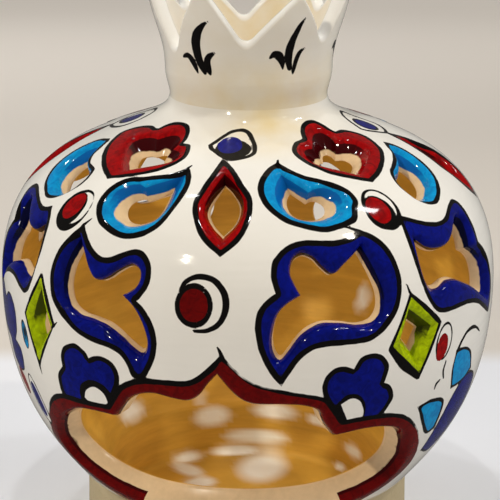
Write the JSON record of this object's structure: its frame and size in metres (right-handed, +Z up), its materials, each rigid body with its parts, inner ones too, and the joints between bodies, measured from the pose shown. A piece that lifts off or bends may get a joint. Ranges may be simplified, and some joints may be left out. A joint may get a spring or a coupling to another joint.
{
  "type": "pierced candle lantern",
  "caption": "Pomegranate-shaped pierced ceramic lantern with a crowned neck, lobed front opening and painted cut-outs, holding a tealight on its low floor.",
  "frame": {"origin": "on the table, under the pot's axis", "axes": "+Z up along the pot's axis; the large front opening faces -Y; +X is the viewer's right"},
  "size_m": [0.19, 0.19, 0.2194],
  "materials": {
    "bare_clay": "matte",
    "white_glaze": "gloss",
    "cup_foil": "satin",
    "wax": "satin",
    "tinplate": "satin",
    "cotton": "matte"
  },
  "bodies": {
    "lantern": {"foot": "bare_clay", "globe_lower": "white_glaze", "globe_upper": "white_glaze", "crown_collar": "white_glaze"},
    "cup": {"tealight_cup": "cup_foil"},
    "candle": {"tealight_wax": "wax", "wick_plate": "tinplate", "wick": "cotton"}
  },
  "joints": [
    {"name": "tealight_out", "type": "slide", "parent": "lantern", "child": "cup", "axis": [0, 0.1887, 0.982], "range_m": [0, 0.221]},
    {"name": "wax_out", "type": "slide", "parent": "cup", "child": "candle", "axis": [0, 0, 1], "range_m": [0, 0.016]}
  ]
}
